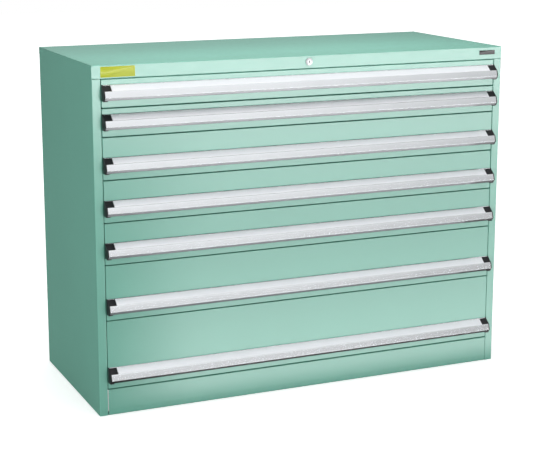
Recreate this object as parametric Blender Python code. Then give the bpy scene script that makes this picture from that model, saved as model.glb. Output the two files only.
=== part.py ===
"""Industrial drawer cabinet: a folded sheet steel carcass with seven drawers on telescopic slides.

A drawer is a folded front, a sheet tray, an extruded handle with two end caps, and a pair of
three-member slides. The key lock in the top rail turns a cam, which draws a locking bar sideways
so that its fingers stand in front of the lugs on the trays.

Units are metres and +Z is up. The front faces -Y. The origin is at the bottom centre of the
bounding box. Under each empty, y is the depth behind the plane of the drawer fronts.
"""

import math

import bmesh
import bpy
from mathutils import Matrix, Vector

# Carcass
CABINET_WIDTH = 1.300
CABINET_DEPTH = 0.550
BASE_HEIGHT = 0.0776
TOP_RAIL_HEIGHT = 0.038
DRAWER_UNIT = 0.0402
DRAWER_UNITS = (2, 2, 3, 3, 3, 4, 5)  # height of each drawer in units, from the top down
SHEET = 0.0012
BEND_RADIUS = 0.002  # outer radius of a fold
BEND_STEPS = 3
ARC_SHARE = 0.5  # bevel profile that gives a true arc
STILE_WIDTH = 0.025
STILE_RETURN = 0.018
REAR_FOLD = 0.020
TOP_REAR_FOLD = 0.020
TOP_RAIL_RETURN = 0.024
BOTTOM_PANEL_FOLD = 0.020
PLINTH_RETURN = 0.030

# Gaps
JOINT_GAP = 0.0003  # between two pieces that touch
DRAWER_GAP = 0.0022  # between two drawer fronts
SIDE_GAP = 0.0015  # between a drawer front and the stile beside it
OVERRUN = 0.002  # how far a cutter runs past the face that it cuts
WELD_OVERLAP = 0.0002  # how far two welded shapes run into each other

# Drawer fronts and trays
FRONT_DEPTH = 0.018
FRONT_FLANGE = 0.014
FRONT_EDGE_RADIUS = 0.0016
TRAY_SHEET = 0.0010
TRAY_LENGTH = 0.506
TRAY_FLOOR_HEIGHT = 0.008  # above the drawer's lower boundary
TRAY_TOP_CLEARANCE = 0.014  # below the drawer's upper boundary

# Slides: two lipped channels face each other, and the middle rail runs in both
SLIDE_HEIGHT = 0.040
SLIDE_FLOOR_HEIGHT = 0.010  # above the drawer's lower boundary
SLIDE_CHANNEL_DEPTH = 0.0096
SLIDE_WALL = 0.0016
SLIDE_LIP = 0.007
SLIDE_LIP_GAP = 0.0009  # between the lips of the two channels
SLIDE_SETBACK = 0.006  # from the back of the drawer front to the slide's front end
RAIL_PLATE = 0.003
RAIL_WEB = 0.004
RAIL_SIDE_CLEARANCE = 0.0005
RAIL_END_CLEARANCE = 0.002
RAIL_LENGTH = 0.474
CHANNEL_LENGTH = 0.496  # of the channel on the tray
FIXED_CHANNEL_SETBACK = 0.010  # of its rear end, from the back of the rear upright

# Uprights that carry the fixed channels
UPRIGHT_DEPTH = 0.030
UPRIGHT_SHEET = 0.0015
UPRIGHT_TOP_CLEARANCE = 0.020

# Handle section, in depth before the drawer front and height above the handle's lower edge
HANDLE_BOTTOM = 0.0225  # above the drawer's lower boundary
HANDLE_HEIGHT = 0.042
HANDLE_DEPTH = 0.028
HANDLE_WALL = 0.002
HANDLE_FLANGE_HEIGHT = 0.026
HANDLE_TOP_DEPTH = 0.0025
HANDLE_RIDGE_DEPTH = 0.0245
HANDLE_RIDGE_HEIGHT = 0.025
HANDLE_NOSE_HEIGHT = 0.010  # where the nose turns upright
HANDLE_CURL_WIDTH = 0.0095
HANDLE_CURL_HEIGHT = 0.0035
HANDLE_EDGE_RADIUS = 0.0006
HANDLE_RIDGE_RADIUS = 0.003
HANDLE_BROW_RADIUS = 0.015
HANDLE_NOSE_RADIUS = 0.007
HANDLE_STEPS = 4
LABEL_LIP = 0.0020  # width of the lip above and below the label channel
LABEL_LIP_THICKNESS = 0.0008
LABEL_LIP_OVERHANG = 0.0007
LABEL_RECESS = 0.0017

# Handle end caps
CAP_PLATE = 0.003
CAP_TAB_LENGTH = 0.021
CAP_TAB_THICKNESS = 0.0011
CAP_TAB_CLEARANCE = 0.0004
CAP_FOOT_LENGTH = 0.009
CAP_FOOT_DEPTH = 0.008
CAP_FOOT_THICKNESS = 0.0022
CAP_CORNER_RADIUS = 0.003
CAP_PEG_LENGTH = 0.010
CAP_PEG_HEIGHT = 0.012

# Lock
LOCK_BELOW_TOP = 0.018
LOCK_RING_RADIUS = 0.011
LOCK_RING_THICKNESS = 0.0025
LOCK_RING_EDGE = 0.0008
LOCK_BARREL_RADIUS = 0.009
LOCK_BARREL_LENGTH = 0.0125
LOCK_NUT_RADIUS = 0.013
LOCK_NUT_THICKNESS = 0.004
LOCK_PLUG_RADIUS = 0.006
LOCK_PLUG_PROUD = 0.0005  # how far the plug stands before the ring
LOCK_STEPS = 32
KEYWAY_WIDTH = 0.0018
KEYWAY_HEIGHT = 0.0078
KEYWAY_DEPTH = 0.008
CAM_THICKNESS = 0.003
CAM_HALF_WIDTH = 0.0045
PIN_OFFSET = 0.007  # from the lock's axis to the cam pin
PIN_RADIUS = 0.002
PIN_STEPS = 12
CAM_REST_ANGLE = math.radians(45)  # of the pin, from straight down towards +X

# Locking bar
BAR_THICKNESS = 0.002
BAR_HEIGHT = 0.019
BAR_END = 0.014  # past the lock's axis
BAR_SLOT_CLEARANCE = 0.0006
BAR_RUNNING_GAP = 0.0015
ARM_WIDTH = 0.0105
ARM_CLEARANCE = 0.0011
FINGER_HEIGHT = 0.012
FINGER_ABOVE_SLIDE = 0.006
FINGER_SETBACK = 0.0015  # of the finger's tip, behind the edge of the stile
ARM_BELOW_FINGER = 0.005

# Lug on each tray that a locked finger stands in front of
LUG_LAP = 0.0024  # of the finger over the lug
LUG_RUNNING_GAP = 0.001
LUG_THICKNESS = 0.002
LUG_MARGIN = 0.002  # of the finger above and below the lug

SHARP_ANGLE = math.radians(40)
MERGE_DISTANCE = 0.000001

# Worked out from the sizes above
CABINET_HEIGHT = BASE_HEIGHT + sum(DRAWER_UNITS) * DRAWER_UNIT + TOP_RAIL_HEIGHT
FRONT_PLANE_Y = (HANDLE_DEPTH - CABINET_DEPTH) / 2
HALF_WIDTH = CABINET_WIDTH / 2
OPENING_HALF = HALF_WIDTH - STILE_WIDTH
INNER_HALF = HALF_WIDTH - SHEET - JOINT_GAP
FRONT_HALF = OPENING_HALF - SIDE_GAP
RAIL_LOWER_EDGE = CABINET_HEIGHT - TOP_RAIL_HEIGHT
BACK_PANEL_FACE = CABINET_DEPTH - SHEET - JOINT_GAP
PLINTH_HEIGHT = BASE_HEIGHT - DRAWER_GAP / 2
BOTTOM_PANEL_TOP = PLINTH_HEIGHT + JOINT_GAP + SHEET
SLIDE_FRONT = FRONT_DEPTH + SLIDE_SETBACK
CHANNEL_OUTER = OPENING_HALF + SLIDE_WALL
CHANNEL_INNER = CHANNEL_OUTER - SLIDE_CHANNEL_DEPTH
DRAWER_CHANNEL_OUTER = CHANNEL_INNER - SLIDE_LIP_GAP
DRAWER_CHANNEL_INNER = DRAWER_CHANNEL_OUTER - SLIDE_CHANNEL_DEPTH
TRAY_HALF = DRAWER_CHANNEL_INNER + WELD_OVERLAP
TRAY_FRONT = FRONT_DEPTH + JOINT_GAP
HANDLE_HALF = FRONT_HALF - CAP_PLATE - JOINT_GAP
LOCK_HEIGHT = CABINET_HEIGHT - LOCK_BELOW_TOP
LOCK_TRAVEL = 2 * PIN_OFFSET * math.sin(CAM_REST_ANGLE)
BAR_FRONT = STILE_RETURN + BAR_RUNNING_GAP
BAR_BOTTOM = RAIL_LOWER_EDGE + SHEET + JOINT_GAP
ARM_INNER = OPENING_HALF + LOCK_TRAVEL + ARM_CLEARANCE
FINGER_TIP = OPENING_HALF + FINGER_SETBACK
FINGER_LOW = SLIDE_FLOOR_HEIGHT + SLIDE_HEIGHT + FINGER_ABOVE_SLIDE
LUG_TIP = FINGER_TIP - LOCK_TRAVEL + LUG_LAP
LUG_FRONT = BAR_FRONT + BAR_THICKNESS + LUG_RUNNING_GAP

# Paints and metals: base colour, roughness, metallic
FINISHES = {
    "mint_paint": ((0.23, 0.51, 0.42), 0.45, 0.0),
    "galvanised_steel": ((0.62, 0.64, 0.65), 0.40, 1.0),
    "slide_steel": ((0.55, 0.57, 0.58), 0.35, 1.0),
    "anodised_aluminium": ((0.82, 0.84, 0.86), 0.35, 1.0),
    "black_plastic": ((0.015, 0.015, 0.018), 0.45, 0.0),
    "lock_chrome": ((0.75, 0.76, 0.77), 0.20, 1.0),
}


def clear_scene():
    for obj in list(bpy.data.objects):
        bpy.data.objects.remove(obj, do_unlink=True)


def make_finishes():
    made = {}
    for name, (colour, roughness, metallic) in FINISHES.items():
        finish = bpy.data.materials.new(name)
        finish.use_nodes = True
        shader = finish.node_tree.nodes["Principled BSDF"]
        shader.inputs["Base Color"].default_value = (*colour, 1)
        shader.inputs["Roughness"].default_value = roughness
        shader.inputs["Metallic"].default_value = metallic
        finish.diffuse_color = (*colour, 1)
        made[name] = finish
    return made


def empty(name, location, parent=None):
    marker = bpy.data.objects.new(name, None)
    marker.location = location
    marker.parent = parent
    bpy.context.scene.collection.objects.link(marker)
    return marker


def piece(name, mesh, finish, parent):
    mesh.shade_smooth()
    mesh.set_sharp_from_angle(angle=SHARP_ANGLE)
    if not mesh.materials:
        mesh.materials.append(finish)
    obj = bpy.data.objects.new(name, mesh)
    obj.parent = parent
    bpy.context.scene.collection.objects.link(obj)
    return obj


def rounded(corners, steps):
    """Outline through (point, radius) corners, each turned by an arc of its radius."""
    outline = []
    for i, (corner, radius) in enumerate(corners):
        point = Vector(corner)
        before = (point - Vector(corners[i - 1][0])).normalized()
        after = (Vector(corners[(i + 1) % len(corners)][0]) - point).normalized()
        turn = math.atan2(before.cross(after), before.dot(after))
        if radius <= 0 or turn == 0:
            outline.append(point)
            continue
        side = math.copysign(1, turn)
        start = point - before * radius * math.tan(abs(turn) / 2)
        spoke = Vector((before.y, -before.x)) * radius * side
        for step in range(steps + 1):
            turned = Matrix.Rotation(turn * step / steps, 2) @ spoke
            outline.append(start - spoke + turned)
    return outline


def folded(path, thickness, radius=0.0):
    """Section of a folded sheet. The path is its outer face, every fold turns left, and the
    sheet lies on the left."""
    points = [Vector(p) for p in path]
    ways = [(b - a).normalized() for a, b in zip(points, points[1:])]
    lefts = [Vector((-way.y, way.x)) for way in ways]
    outer = [(points[0], 0)]
    inner = [(points[0] + lefts[0] * thickness, 0)]
    for point, first, second in zip(points[1:-1], lefts, lefts[1:]):
        mitre = (first + second) / (1 + first.dot(second))
        outer.append((point, radius))
        inner.append((point + mitre * thickness, radius - thickness))
    outer.append((points[-1], 0))
    inner.append((points[-1] + lefts[-1] * thickness, 0))
    return rounded(outer + inner[::-1], BEND_STEPS)


def to_mesh(shape, name):
    bmesh.ops.recalc_face_normals(shape, faces=shape.faces)
    mesh = bpy.data.meshes.new(name)
    shape.to_mesh(mesh)
    shape.free()
    return mesh


def prism(outline, axis, start, end):
    """The outline, drawn across an axis, extruded along it: (y, z) on X, (x, z) on Y, (x, y) on Z."""

    def place(u, v, along):
        return {"X": (along, u, v), "Y": (u, along, v), "Z": (u, v, along)}[axis]

    shape = bmesh.new()
    face = shape.faces.new([shape.verts.new(place(u, v, start)) for u, v in outline])
    extruded = bmesh.ops.extrude_face_region(shape, geom=[face])["geom"]
    moved = [item for item in extruded if isinstance(item, bmesh.types.BMVert)]
    bmesh.ops.translate(shape, verts=moved, vec=place(0, 0, end - start))
    return to_mesh(shape, "prism")


def block(low, high, edge_radius=0.0):
    """A block between two corners. An edge radius rounds its front edges and front-to-back edges."""
    low, high = Vector(low), Vector(high)
    shape = bmesh.new()
    bmesh.ops.create_cube(shape, size=1)
    scale = Matrix.Diagonal((*(high - low), 1))
    bmesh.ops.transform(shape, matrix=Matrix.Translation((low + high) / 2) @ scale, verts=shape.verts)
    if edge_radius:
        front = {v for v in shape.verts if v.co.y < (low.y + high.y) / 2}
        edges = [e for e in shape.edges if front.intersection(e.verts)]
        bmesh.ops.bevel(
            shape, geom=edges, offset=edge_radius, segments=BEND_STEPS, profile=ARC_SHARE, affect="EDGES"
        )
    return to_mesh(shape, "block")


def circle(radius, steps, centre=(0, 0)):
    angles = [math.tau * step / steps for step in range(steps)]
    return [(centre[0] + radius * math.cos(a), centre[1] + radius * math.sin(a)) for a in angles]


def turned(profile, steps):
    """The closed (radius, y) profile turned about the Y axis."""
    shape = bmesh.new()
    verts = [shape.verts.new((radius, y, 0)) for radius, y in profile]
    edges = [shape.edges.new((a, b)) for a, b in zip(verts, verts[1:] + verts[:1])]
    bmesh.ops.spin(
        shape, geom=verts + edges, cent=(0, 0, 0), axis=(0, 1, 0), angle=math.tau, steps=steps
    )
    bmesh.ops.remove_doubles(shape, verts=shape.verts, dist=MERGE_DISTANCE)
    return to_mesh(shape, "turned")


def moved(mesh, offset):
    mesh.transform(Matrix.Translation(offset))
    return mesh


def mirrored(mesh):
    """A copy of the mesh, mirrored to the other side of the cabinet."""
    copy = mesh.copy()
    copy.transform(Matrix.Scale(-1, 4, (1, 0, 0)))
    copy.flip_normals()
    return copy


def combined(operation, first, *others):
    """Meshes united, or others cut from the first, by exact Booleans."""
    for other in others:
        body = bpy.data.objects.new("body", first)
        tool = bpy.data.objects.new("tool", other)
        for obj in (body, tool):
            bpy.context.scene.collection.objects.link(obj)
        boolean = body.modifiers.new("boolean", "BOOLEAN")
        boolean.operation = operation
        boolean.solver = "EXACT"
        boolean.object = tool
        graph = bpy.context.evaluated_depsgraph_get()
        first = bpy.data.meshes.new_from_object(body.evaluated_get(graph))
        bpy.data.objects.remove(body)
        bpy.data.objects.remove(tool)
    return first


def united(*meshes):
    return combined("UNION", *meshes)


def cut(mesh, *cutters):
    return combined("DIFFERENCE", mesh, *cutters)


def drawer_floors():
    """Height of each drawer's lower boundary, from the top drawer down."""
    floors = []
    height = RAIL_LOWER_EDGE
    for units in DRAWER_UNITS:
        height -= units * DRAWER_UNIT
        floors.append(height)
    return floors


def side_panel():
    """Right side: a sheet folded into the front stile, the side and the rear edge, on a floor flange."""
    section = folded(
        [
            (OPENING_HALF, STILE_RETURN),
            (OPENING_HALF, 0),
            (HALF_WIDTH, 0),
            (HALF_WIDTH, CABINET_DEPTH),
            (HALF_WIDTH - REAR_FOLD, CABINET_DEPTH),
        ],
        SHEET,
        BEND_RADIUS,
    )
    panel = prism(section, "Z", 0, CABINET_HEIGHT - SHEET - JOINT_GAP)
    flange = block(
        (OPENING_HALF, BEND_RADIUS, 0), (HALF_WIDTH - WELD_OVERLAP, CABINET_DEPTH - BEND_RADIUS, SHEET)
    )
    stile_top = RAIL_LOWER_EDGE - JOINT_GAP
    above = CABINET_HEIGHT + OVERRUN
    behind_rail = block(
        (OPENING_HALF - OVERRUN, -OVERRUN, stile_top), (HALF_WIDTH + OVERRUN, SHEET + JOINT_GAP, above)
    )
    stile_return = block(
        (OPENING_HALF - OVERRUN, -OVERRUN, stile_top),
        (HALF_WIDTH - BEND_RADIUS, STILE_RETURN + OVERRUN, above),
    )
    rear_corner = block(
        (HALF_WIDTH - REAR_FOLD - OVERRUN, BACK_PANEL_FACE, CABINET_HEIGHT - TOP_REAR_FOLD - JOINT_GAP),
        (HALF_WIDTH + OVERRUN, CABINET_DEPTH + OVERRUN, above),
    )
    return cut(united(panel, flange), behind_rail, stile_return, rear_corner)


def top_panel():
    """Top sheet with the front rail and the rear edge folded down from it."""
    section = folded(
        [
            (CABINET_DEPTH, CABINET_HEIGHT - TOP_REAR_FOLD),
            (CABINET_DEPTH, CABINET_HEIGHT),
            (0, CABINET_HEIGHT),
            (0, RAIL_LOWER_EDGE),
            (TOP_RAIL_RETURN, RAIL_LOWER_EDGE),
        ],
        SHEET,
        BEND_RADIUS,
    )
    panel = prism(section, "X", -HALF_WIDTH, HALF_WIDTH)
    below = RAIL_LOWER_EDGE - OVERRUN
    lock_hole = prism(
        circle(LOCK_BARREL_RADIUS + JOINT_GAP, LOCK_STEPS, (0, LOCK_HEIGHT)), "Y", -OVERRUN, BEND_RADIUS
    )
    cutters = [lock_hole]
    for side in (-1, 1):
        ends = sorted((side * INNER_HALF, side * (HALF_WIDTH + OVERRUN)))
        cutters.append(
            block(
                (ends[0], SHEET + JOINT_GAP, below),
                (ends[1], TOP_RAIL_RETURN + OVERRUN, RAIL_LOWER_EDGE + BEND_RADIUS),
            )
        )
        notch = sorted((side * (ARM_INNER - LOCK_TRAVEL - ARM_WIDTH), side * (HALF_WIDTH + OVERRUN)))
        cutters.append(
            block(
                (notch[0], STILE_RETURN, below),
                (notch[1], TOP_RAIL_RETURN + OVERRUN, RAIL_LOWER_EDGE + BEND_RADIUS),
            )
        )
    return cut(panel, *cutters)


def back_panel():
    return block(
        (-INNER_HALF, BACK_PANEL_FACE - SHEET, SHEET + JOINT_GAP),
        (INNER_HALF, BACK_PANEL_FACE, CABINET_HEIGHT - SHEET - JOINT_GAP),
    )


def bottom_panel():
    """Floor of the carcass, folded down along both sides. Its front corners reach into the stiles."""
    section = folded(
        [
            (INNER_HALF, BOTTOM_PANEL_TOP - BOTTOM_PANEL_FOLD),
            (INNER_HALF, BOTTOM_PANEL_TOP),
            (-INNER_HALF, BOTTOM_PANEL_TOP),
            (-INNER_HALF, BOTTOM_PANEL_TOP - BOTTOM_PANEL_FOLD),
        ],
        SHEET,
        BEND_RADIUS,
    )
    panel = prism(section, "Y", SHEET + JOINT_GAP, BACK_PANEL_FACE - SHEET - JOINT_GAP)
    corner = OPENING_HALF + SHEET + JOINT_GAP
    flat_half = INNER_HALF - BEND_RADIUS - JOINT_GAP
    below = BOTTOM_PANEL_TOP - BOTTOM_PANEL_FOLD - OVERRUN
    above = BOTTOM_PANEL_TOP + OVERRUN
    cutters = []
    for ends in ((-corner, corner), (flat_half, HALF_WIDTH), (-HALF_WIDTH, -flat_half)):
        cutters.append(block((ends[0], -OVERRUN, below), (ends[1], STILE_RETURN + JOINT_GAP, above)))
    return cut(panel, *cutters)


def plinth_panel():
    section = folded(
        [
            (PLINTH_RETURN, PLINTH_HEIGHT),
            (0, PLINTH_HEIGHT),
            (0, 0),
            (PLINTH_RETURN, 0),
        ],
        SHEET,
        BEND_RADIUS,
    )
    return prism(section, "X", -FRONT_HALF, FRONT_HALF)


def channel_section(web_x, mouth_x, floor):
    """Lipped channel whose web is at web_x and whose open side is at mouth_x."""
    lip_ends = (floor + SLIDE_LIP, floor + SLIDE_HEIGHT - SLIDE_LIP)
    path = [
        (mouth_x, lip_ends[0]),
        (mouth_x, floor),
        (web_x, floor),
        (web_x, floor + SLIDE_HEIGHT),
        (mouth_x, floor + SLIDE_HEIGHT),
        (mouth_x, lip_ends[1]),
    ]
    return folded(path if web_x > mouth_x else path[::-1], SLIDE_WALL)


def runner_frame():
    """Right side: two uprights with a fixed slide channel for each drawer welded across them."""
    frame = None
    back = BACK_PANEL_FACE - SHEET - JOINT_GAP
    for front in (SLIDE_FRONT, back - UPRIGHT_DEPTH):
        inner = CHANNEL_OUTER - WELD_OVERLAP
        section = folded(
            [
                (INNER_HALF, front + UPRIGHT_DEPTH),
                (inner, front + UPRIGHT_DEPTH),
                (inner, front),
                (INNER_HALF, front),
            ],
            UPRIGHT_SHEET,
        )
        top = RAIL_LOWER_EDGE - UPRIGHT_TOP_CLEARANCE
        upright = prism(section, "Z", BOTTOM_PANEL_TOP + JOINT_GAP, top)
        frame = united(frame, upright) if frame else upright
    for floor in drawer_floors():
        section = channel_section(CHANNEL_OUTER, CHANNEL_INNER, floor + SLIDE_FLOOR_HEIGHT)
        frame = united(frame, prism(section, "Y", SLIDE_FRONT, back - FIXED_CHANNEL_SETBACK))
    return frame


def middle_rail():
    """Right side: a plate inside each channel, joined by a web that passes between the lips."""
    low = SLIDE_FLOOR_HEIGHT + SLIDE_WALL + JOINT_GAP
    high = SLIDE_FLOOR_HEIGHT + SLIDE_HEIGHT - SLIDE_WALL - JOINT_GAP
    web_low = (low + high - RAIL_WEB) / 2
    web_high = web_low + RAIL_WEB
    outer_face = CHANNEL_INNER + SLIDE_WALL + RAIL_SIDE_CLEARANCE
    inner_face = DRAWER_CHANNEL_OUTER - SLIDE_WALL - RAIL_SIDE_CLEARANCE
    section = [
        (inner_face - RAIL_PLATE, low),
        (inner_face, low),
        (inner_face, web_low),
        (outer_face, web_low),
        (outer_face, low),
        (outer_face + RAIL_PLATE, low),
        (outer_face + RAIL_PLATE, high),
        (outer_face, high),
        (outer_face, web_high),
        (inner_face, web_high),
        (inner_face, high),
        (inner_face - RAIL_PLATE, high),
    ]
    front = SLIDE_FRONT + RAIL_END_CLEARANCE
    return prism(section, "Y", front, front + RAIL_LENGTH)


def drawer_front(height):
    """Folded front: a shallow box with its four edges turned back and in again."""
    low, high = DRAWER_GAP / 2, height - DRAWER_GAP / 2
    shell = block((-FRONT_HALF, 0, low), (FRONT_HALF, FRONT_DEPTH, high), FRONT_EDGE_RADIUS)
    cavity = block(
        (-FRONT_HALF + SHEET, SHEET, low + SHEET),
        (FRONT_HALF - SHEET, FRONT_DEPTH - SHEET, high - SHEET),
    )
    mouth = block(
        (-FRONT_HALF + FRONT_FLANGE, FRONT_DEPTH / 2, low + FRONT_FLANGE),
        (FRONT_HALF - FRONT_FLANGE, FRONT_DEPTH + OVERRUN, high - FRONT_FLANGE),
    )
    return cut(shell, united(cavity, mouth))


def drawer_tray(height):
    """Open sheet box with a moving slide channel on each side and a lock lug on the right."""
    floor = TRAY_FLOOR_HEIGHT
    rim = height - TRAY_TOP_CLEARANCE
    back = TRAY_FRONT + TRAY_LENGTH
    shell = block((-TRAY_HALF, TRAY_FRONT, floor), (TRAY_HALF, back, rim))
    inside = block(
        (-TRAY_HALF + TRAY_SHEET, TRAY_FRONT + TRAY_SHEET, floor + TRAY_SHEET),
        (TRAY_HALF - TRAY_SHEET, back - TRAY_SHEET, rim + OVERRUN),
    )
    lug = block(
        (TRAY_HALF - TRAY_SHEET / 2, LUG_FRONT, FINGER_LOW + LUG_MARGIN),
        (LUG_TIP, LUG_FRONT + LUG_THICKNESS, FINGER_LOW + FINGER_HEIGHT - LUG_MARGIN),
    )
    section = channel_section(DRAWER_CHANNEL_INNER, DRAWER_CHANNEL_OUTER, SLIDE_FLOOR_HEIGHT)
    right = prism(section, "Y", SLIDE_FRONT, SLIDE_FRONT + CHANNEL_LENGTH)
    return united(cut(shell, inside), right, mirrored(right), lug)


def slope_point(along, out):
    """A point of the handle's label slope: a distance down it, and a distance out of it."""
    top = Vector((HANDLE_TOP_DEPTH, HANDLE_HEIGHT))
    way = (Vector((HANDLE_RIDGE_DEPTH, HANDLE_RIDGE_HEIGHT)) - top).normalized()
    return top + way * along + Vector((-way.y, way.x)) * out


def slope_length():
    return math.hypot(HANDLE_RIDGE_DEPTH - HANDLE_TOP_DEPTH, HANDLE_HEIGHT - HANDLE_RIDGE_HEIGHT)


def slope_point_at(value, coordinate, out):
    """The point at a given depth (coordinate 0) or height (1), on the slope moved out by out."""
    start, end = slope_point(0, out), slope_point(slope_length(), out)
    share = (value - start[coordinate]) / (end[coordinate] - start[coordinate])
    return start.lerp(end, share)


def inner_corner(before, corner, after, wall_before, wall_after):
    """Corner of the inner face, where the walls before and after an outer corner meet."""
    before, corner, after = Vector(before), Vector(corner), Vector(after)
    first = (corner - before).normalized()
    second = (after - corner).normalized()
    first_in = Vector((first.y, -first.x))
    second_in = Vector((second.y, -second.x))
    share = first_in.dot(second_in)
    a = (wall_before - share * wall_after) / (1 - share**2)
    b = (wall_after - share * wall_before) / (1 - share**2)
    return corner + first_in * a + second_in * b


def as_section(corners):
    """Turns (depth before the front, height) corners into (y, z) ones."""
    return [((-x, z), radius) for (x, z), radius in corners]


def handle_section():
    """Extruded section: mounting flange, label channel on the slope, nose, and a curled lower lip."""
    back = JOINT_GAP
    ridge = Vector((HANDLE_RIDGE_DEPTH, HANDLE_RIDGE_HEIGHT))
    brow = Vector((HANDLE_DEPTH, HANDLE_NOSE_HEIGHT))
    nose = Vector((HANDLE_DEPTH, 0))
    curl = Vector((HANDLE_DEPTH - HANDLE_CURL_WIDTH, 0))
    flange_bottom = HANDLE_HEIGHT - HANDLE_FLANGE_HEIGHT
    lower_lip = slope_length() - LABEL_LIP
    slope_wall = LABEL_RECESS + HANDLE_WALL
    inner_ridge = inner_corner(slope_point(0, 0), ridge, brow, slope_wall, HANDLE_WALL)
    inner_brow = inner_corner(ridge, brow, nose, HANDLE_WALL, HANDLE_WALL)
    inner_nose = inner_corner(brow, nose, curl, HANDLE_WALL, HANDLE_WALL)
    corners = [
        ((back, flange_bottom), 0),
        ((back, HANDLE_HEIGHT), HANDLE_EDGE_RADIUS),
        (slope_point(0, 0), HANDLE_EDGE_RADIUS),
        (slope_point(LABEL_LIP, 0), 0),
        (slope_point(LABEL_LIP, -LABEL_LIP_THICKNESS), 0),
        (slope_point(LABEL_LIP - LABEL_LIP_OVERHANG, -LABEL_LIP_THICKNESS), 0),
        (slope_point(LABEL_LIP - LABEL_LIP_OVERHANG, -LABEL_RECESS), 0),
        (slope_point(lower_lip + LABEL_LIP_OVERHANG, -LABEL_RECESS), 0),
        (slope_point(lower_lip + LABEL_LIP_OVERHANG, -LABEL_LIP_THICKNESS), 0),
        (slope_point(lower_lip, -LABEL_LIP_THICKNESS), 0),
        (slope_point(lower_lip, 0), 0),
        (ridge, HANDLE_RIDGE_RADIUS),
        (brow, HANDLE_BROW_RADIUS),
        (nose, HANDLE_NOSE_RADIUS),
        (curl, HANDLE_EDGE_RADIUS),
        (curl + Vector((0, HANDLE_CURL_HEIGHT)), 0),
        (curl + Vector((HANDLE_WALL, HANDLE_CURL_HEIGHT)), 0),
        (curl + Vector((HANDLE_WALL, HANDLE_WALL)), 0),
        (inner_nose, HANDLE_NOSE_RADIUS - HANDLE_WALL),
        (inner_brow, 0),
        (inner_ridge, 0),
        (slope_point_at(back + HANDLE_WALL, 0, -slope_wall), 0),
        ((back + HANDLE_WALL, flange_bottom), 0),
    ]
    return rounded(as_section(corners), HANDLE_STEPS)


def handle():
    return moved(prism(handle_section(), "X", -HANDLE_HALF, HANDLE_HALF), (0, 0, HANDLE_BOTTOM))


def handle_cap():
    """Right end: a plate over the section, a tab in the label channel, a foot under the nose and a
    peg inside the hollow."""
    back = JOINT_GAP
    bottom = -JOINT_GAP - CAP_FOOT_THICKNESS
    silhouette = [
        ((back, bottom), CAP_CORNER_RADIUS),
        ((back, HANDLE_HEIGHT), HANDLE_EDGE_RADIUS),
        (slope_point(0, 0), HANDLE_EDGE_RADIUS),
        ((HANDLE_RIDGE_DEPTH, HANDLE_RIDGE_HEIGHT), HANDLE_RIDGE_RADIUS),
        ((HANDLE_DEPTH, HANDLE_NOSE_HEIGHT), HANDLE_BROW_RADIUS),
        ((HANDLE_DEPTH, 0), HANDLE_NOSE_RADIUS),
        ((HANDLE_DEPTH - HANDLE_NOSE_RADIUS, bottom), CAP_FOOT_THICKNESS),
    ]
    plate = prism(rounded(as_section(silhouette), HANDLE_STEPS), "X", FRONT_HALF - CAP_PLATE, FRONT_HALF)
    root = FRONT_HALF - CAP_PLATE / 2
    lowest = -LABEL_RECESS + JOINT_GAP
    highest = lowest + CAP_TAB_THICKNESS
    first = LABEL_LIP + CAP_TAB_CLEARANCE
    last = slope_length() - first
    tab_corners = [(first, lowest), (first, highest), (last, highest), (last, lowest)]
    tab_section = as_section([(slope_point(*corner), 0) for corner in tab_corners])
    tab = prism(rounded(tab_section, 1), "X", FRONT_HALF - CAP_PLATE - CAP_TAB_LENGTH, root)
    foot_back = HANDLE_DEPTH - HANDLE_NOSE_RADIUS - CAP_FOOT_DEPTH
    foot_corners = [
        ((foot_back, bottom), 0),
        ((foot_back, -JOINT_GAP), 0),
        ((HANDLE_DEPTH - HANDLE_NOSE_RADIUS, -JOINT_GAP), 0),
        ((HANDLE_DEPTH - HANDLE_NOSE_RADIUS, bottom), CAP_FOOT_THICKNESS / 2),
    ]
    foot_section = rounded(as_section(foot_corners), HANDLE_STEPS)
    foot = prism(foot_section, "X", FRONT_HALF - CAP_PLATE - CAP_FOOT_LENGTH, root)
    under_slope = -LABEL_RECESS - HANDLE_WALL - JOINT_GAP
    peg_top = slope_point_at(back + HANDLE_WALL + JOINT_GAP, 0, under_slope)
    peg_corners = [
        (peg_top, 0),
        (slope_point_at(peg_top.y - CAP_PEG_HEIGHT, 1, under_slope), 0),
        ((peg_top.x, peg_top.y - CAP_PEG_HEIGHT), 0),
    ]
    peg_section = rounded(as_section(peg_corners), 1)
    peg = prism(peg_section, "X", FRONT_HALF - CAP_PLATE - CAP_PEG_LENGTH, root)
    return moved(united(plate, tab, foot, peg), (0, 0, HANDLE_BOTTOM))


def lock_barrel():
    """Ring, threaded barrel and nut that clamp the lock into the top rail."""
    bore = LOCK_PLUG_RADIUS + JOINT_GAP
    front = -JOINT_GAP - LOCK_RING_THICKNESS
    barrel = turned(
        [
            (bore, front),
            (LOCK_RING_RADIUS - LOCK_RING_EDGE, front),
            (LOCK_RING_RADIUS, front + LOCK_RING_EDGE),
            (LOCK_RING_RADIUS, -JOINT_GAP),
            (LOCK_BARREL_RADIUS, -JOINT_GAP),
            (LOCK_BARREL_RADIUS, LOCK_BARREL_LENGTH),
            (bore, LOCK_BARREL_LENGTH),
        ],
        LOCK_STEPS,
    )
    nut_front = SHEET + JOINT_GAP
    nut = prism(circle(LOCK_NUT_RADIUS, 6), "Y", nut_front, nut_front + LOCK_NUT_THICKNESS)
    nut_hole = prism(
        circle(LOCK_BARREL_RADIUS - WELD_OVERLAP, LOCK_STEPS),
        "Y",
        nut_front - OVERRUN,
        nut_front + LOCK_NUT_THICKNESS + OVERRUN,
    )
    return united(barrel, cut(nut, nut_hole))


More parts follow.
